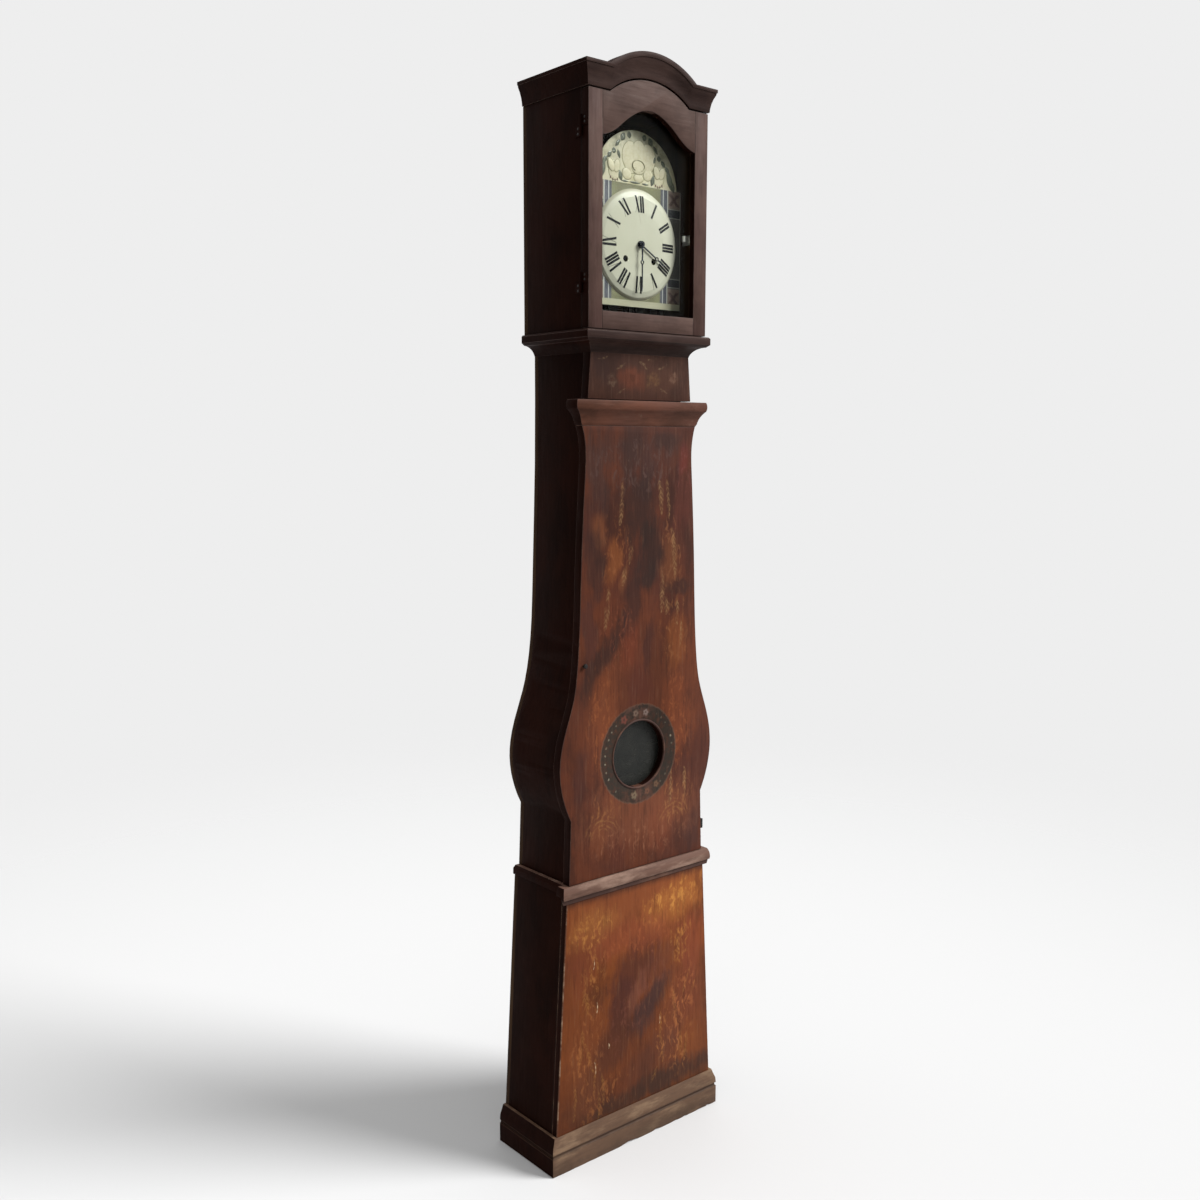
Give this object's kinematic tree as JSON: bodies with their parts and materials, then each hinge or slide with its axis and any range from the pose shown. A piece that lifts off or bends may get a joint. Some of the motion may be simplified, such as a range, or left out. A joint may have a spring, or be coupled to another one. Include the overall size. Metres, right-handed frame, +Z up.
{
  "type": "longcase clock",
  "caption": "Tall painted clock case with a violin-shaped trunk door, round lenticle, arched hood and dial, with weights, going and strike trains and a pendulum.",
  "frame": {"origin": "on the floor, under the middle of the case's width and depth", "axes": "+X to the right seen from the front, +Y to the back, +Z up"},
  "size_m": [0.496, 0.224, 2.34],
  "materials": {
    "painted_wood": "worn painted graining",
    "bare_wood": "bare softwood",
    "clear_glass": "old clear glass",
    "enamel": "glossy white enamel",
    "stamped_brass": "aged",
    "bell_metal": "dull",
    "forged_iron": "blackened",
    "steel": "blued",
    "weight_iron": "rough",
    "line_cord": "twisted cord"
  },
  "bodies": {
    "case": {"back_board": "bare_wood", "trunk_left_side": "painted_wood", "trunk_right_side": "painted_wood", "base_sides": "painted_wood", "base_front_panel": "painted_wood", "base_floor_board": "bare_wood", "plinth_boards": "painted_wood", "waist_mouldings": "painted_wood", "neck_panel": "painted_wood", "hood_base_mouldings": "painted_wood", "hood_sides": "painted_wood", "hood_roof": "bare_wood", "cornice_mouldings": "painted_wood", "seat_board": "bare_wood", "dial_plate": "stamped_brass", "dial_disc": "enamel", "door_pintles": "forged_iron", "hood_hinge_plates": "forged_iron", "hood_catch_clip": "stamped_brass", "frame_plates": "forged_iron", "frame_uprights": "forged_iron", "suspension_cock": "forged_iron", "bell": "bell_metal", "bell_post": "forged_iron", "going_line": "line_cord", "strike_line": "line_cord"},
    "trunk_door": {"trunk_door_board": "painted_wood", "door_shelf_moulding": "painted_wood", "lenticle_glass": "clear_glass", "door_hinge_straps": "forged_iron", "door_pull": "stamped_brass"},
    "hood_door": {"hood_door_stiles": "painted_wood", "hood_door_top_rail": "painted_wood", "hood_door_bottom_rail": "painted_wood", "hood_door_glass": "clear_glass", "hood_door_hinge_leaves": "forged_iron"},
    "going_weight_body": {"going_weight": "weight_iron"},
    "strike_weight_body": {"strike_weight": "weight_iron"},
    "going_barrel_body": {"going_barrel": "stamped_brass"},
    "strike_barrel_body": {"strike_barrel": "stamped_brass"},
    "going_great": {"going_great_wheel": "stamped_brass"},
    "centre": {"centre_arbor": "steel", "centre_wheel": "stamped_brass", "cannon_wheel": "stamped_brass", "minute_hand": "steel"},
    "hour": {"hour_wheel": "stamped_brass", "hour_hand": "steel"},
    "reverse": {"reverse_wheel": "stamped_brass"},
    "third": {"third_arbor": "steel", "third_wheel": "stamped_brass"},
    "escape": {"escape_arbor": "steel", "escape_wheel": "stamped_brass"},
    "anchor": {"anchor_and_crutch": "steel"},
    "pendulum": {"pendulum_rod": "forged_iron", "pendulum_bob": "stamped_brass"},
    "strike_great": {"strike_great_wheel": "stamped_brass"},
    "strike": {"strike_arbor": "steel", "strike_wheel": "stamped_brass"},
    "fly_body": {"fly": "steel"},
    "hammer_body": {"hammer": "forged_iron"}
  },
  "joints": [
    {"name": "trunk_door_hinge", "type": "hinge", "parent": "case", "child": "trunk_door", "pos_m": [0.217, -0.018, 1.1], "axis": [0, 0, 1], "range_deg": [0, 100]},
    {"name": "hood_door_hinge", "type": "hinge", "parent": "case", "child": "hood_door", "pos_m": [-0.1675, -0.079, 2], "axis": [0, 0, -1], "range_deg": [0, 110]},
    {"name": "going_weight_wind", "type": "slide", "parent": "case", "child": "going_weight_body", "axis": [0, 0, 1], "range_m": [0, 1.1], "deforming": ["going_line"]},
    {"name": "strike_weight_wind", "type": "slide", "parent": "case", "child": "strike_weight_body", "axis": [0, 0, 1], "range_m": [0, 1.1], "deforming": ["strike_line"]},
    {"name": "going_barrel_turn", "type": "hinge", "parent": "case", "child": "going_barrel_body", "pos_m": [0.039, 0, 1.941], "axis": [0, -1, 0], "range_deg": [0, 4124]},
    {"name": "strike_barrel_turn", "type": "hinge", "parent": "case", "child": "strike_barrel_body", "pos_m": [-0.039, 0, 1.941], "axis": [0, 1, 0], "range_deg": [0, 4124]},
    {"name": "third_wheel_turn", "type": "hinge", "parent": "case", "child": "third", "pos_m": [0, 0, 2.0053], "axis": [0, 1, 0], "continuous": true},
    {"name": "centre_turn", "type": "hinge", "parent": "case", "child": "centre", "pos_m": [0, 0, 1.9725], "axis": [0, 1, 0], "continuous": true},
    {"name": "great_wheel_turn", "type": "hinge", "parent": "case", "child": "going_great", "pos_m": [0.039, 0, 1.941], "axis": [0, 1, 0], "continuous": true},
    {"name": "escape_wheel_turn", "type": "hinge", "parent": "case", "child": "escape", "pos_m": [0, 0, 2.03792], "axis": [0, 1, 0], "continuous": true},
    {"name": "reverse_wheel_turn", "type": "hinge", "parent": "case", "child": "reverse", "pos_m": [0.0288, 0, 1.9725], "axis": [0, 1, 0], "continuous": true},
    {"name": "hour_hand_turn", "type": "hinge", "parent": "case", "child": "hour", "pos_m": [0, 0, 1.9725], "axis": [0, 1, 0], "continuous": true},
    {"name": "pendulum_swing", "type": "hinge", "parent": "case", "child": "pendulum", "pos_m": [0, -0.0385, 2.07192], "axis": [0, 1, 0], "range_deg": [-3, 3]},
    {"name": "anchor_rock", "type": "hinge", "parent": "case", "child": "anchor", "pos_m": [0, 0, 2.07192], "axis": [0, 1, 0], "range_deg": [-3, 3]},
    {"name": "strike_train_turn", "type": "hinge", "parent": "case", "child": "strike", "pos_m": [-0.04771, 0, 1.99037], "axis": [0, 1, 0], "continuous": true},
    {"name": "strike_great_turn", "type": "hinge", "parent": "case", "child": "strike_great", "pos_m": [-0.039, 0, 1.941], "axis": [0, 1, 0], "continuous": true},
    {"name": "fly_turn", "type": "hinge", "parent": "case", "child": "fly_body", "pos_m": [-0.03996, 0, 2.02142], "axis": [0, 1, 0], "continuous": true},
    {"name": "hammer_lift", "type": "hinge", "parent": "case", "child": "hammer_body", "pos_m": [0.075, 0.03, 2.05], "axis": [0, 1, 0], "range_deg": [0, 12]}
  ],
  "couplings": [
    {"joint": "going_barrel_turn", "follows": "going_weight_wind", "rad_per_m": 65.359},
    {"joint": "strike_barrel_turn", "follows": "strike_weight_wind", "rad_per_m": 65.359},
    {"joint": "centre_turn", "follows": "third_wheel_turn", "ratio": -0.13889},
    {"joint": "great_wheel_turn", "follows": "third_wheel_turn", "ratio": 0.011574},
    {"joint": "escape_wheel_turn", "follows": "third_wheel_turn", "ratio": -7.7},
    {"joint": "reverse_wheel_turn", "follows": "third_wheel_turn", "ratio": 0.046296},
    {"joint": "hour_hand_turn", "follows": "third_wheel_turn", "ratio": -0.011574},
    {"joint": "anchor_rock", "follows": "pendulum_swing", "ratio": 1},
    {"joint": "strike_great_turn", "follows": "strike_train_turn", "ratio": -0.083333},
    {"joint": "fly_turn", "follows": "strike_train_turn", "ratio": -9}
  ]
}
